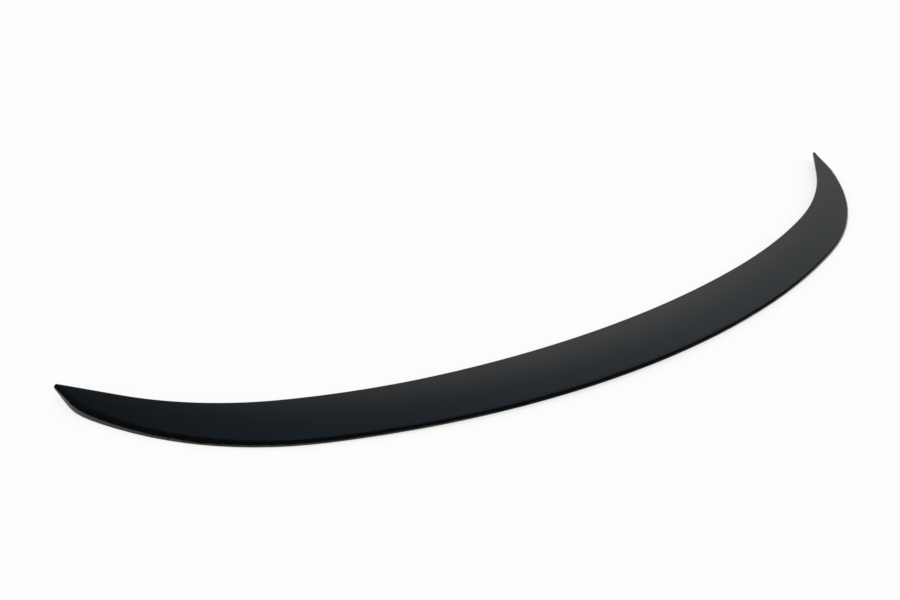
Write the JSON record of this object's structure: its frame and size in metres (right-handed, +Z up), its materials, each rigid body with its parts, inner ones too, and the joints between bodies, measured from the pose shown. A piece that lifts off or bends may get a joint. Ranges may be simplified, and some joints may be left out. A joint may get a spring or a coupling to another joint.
{
  "type": "car rear spoiler",
  "caption": "Slim crescent spoiler lip for a boot lid in gloss black plastic, with a thin leading edge, a rounded crest over a turned-down rear wall, and pointed ends.",
  "frame": {"origin": "middle of the outline, on the table that the lip lies on", "axes": "+X across the car, +Y towards the front of the car, +Z up"},
  "size_m": [1.2, 0.2948, 0.0154],
  "materials": {
    "gloss_black": "high gloss"
  },
  "bodies": {
    "root": {"spoiler": "gloss_black"}
  },
  "joints": []
}
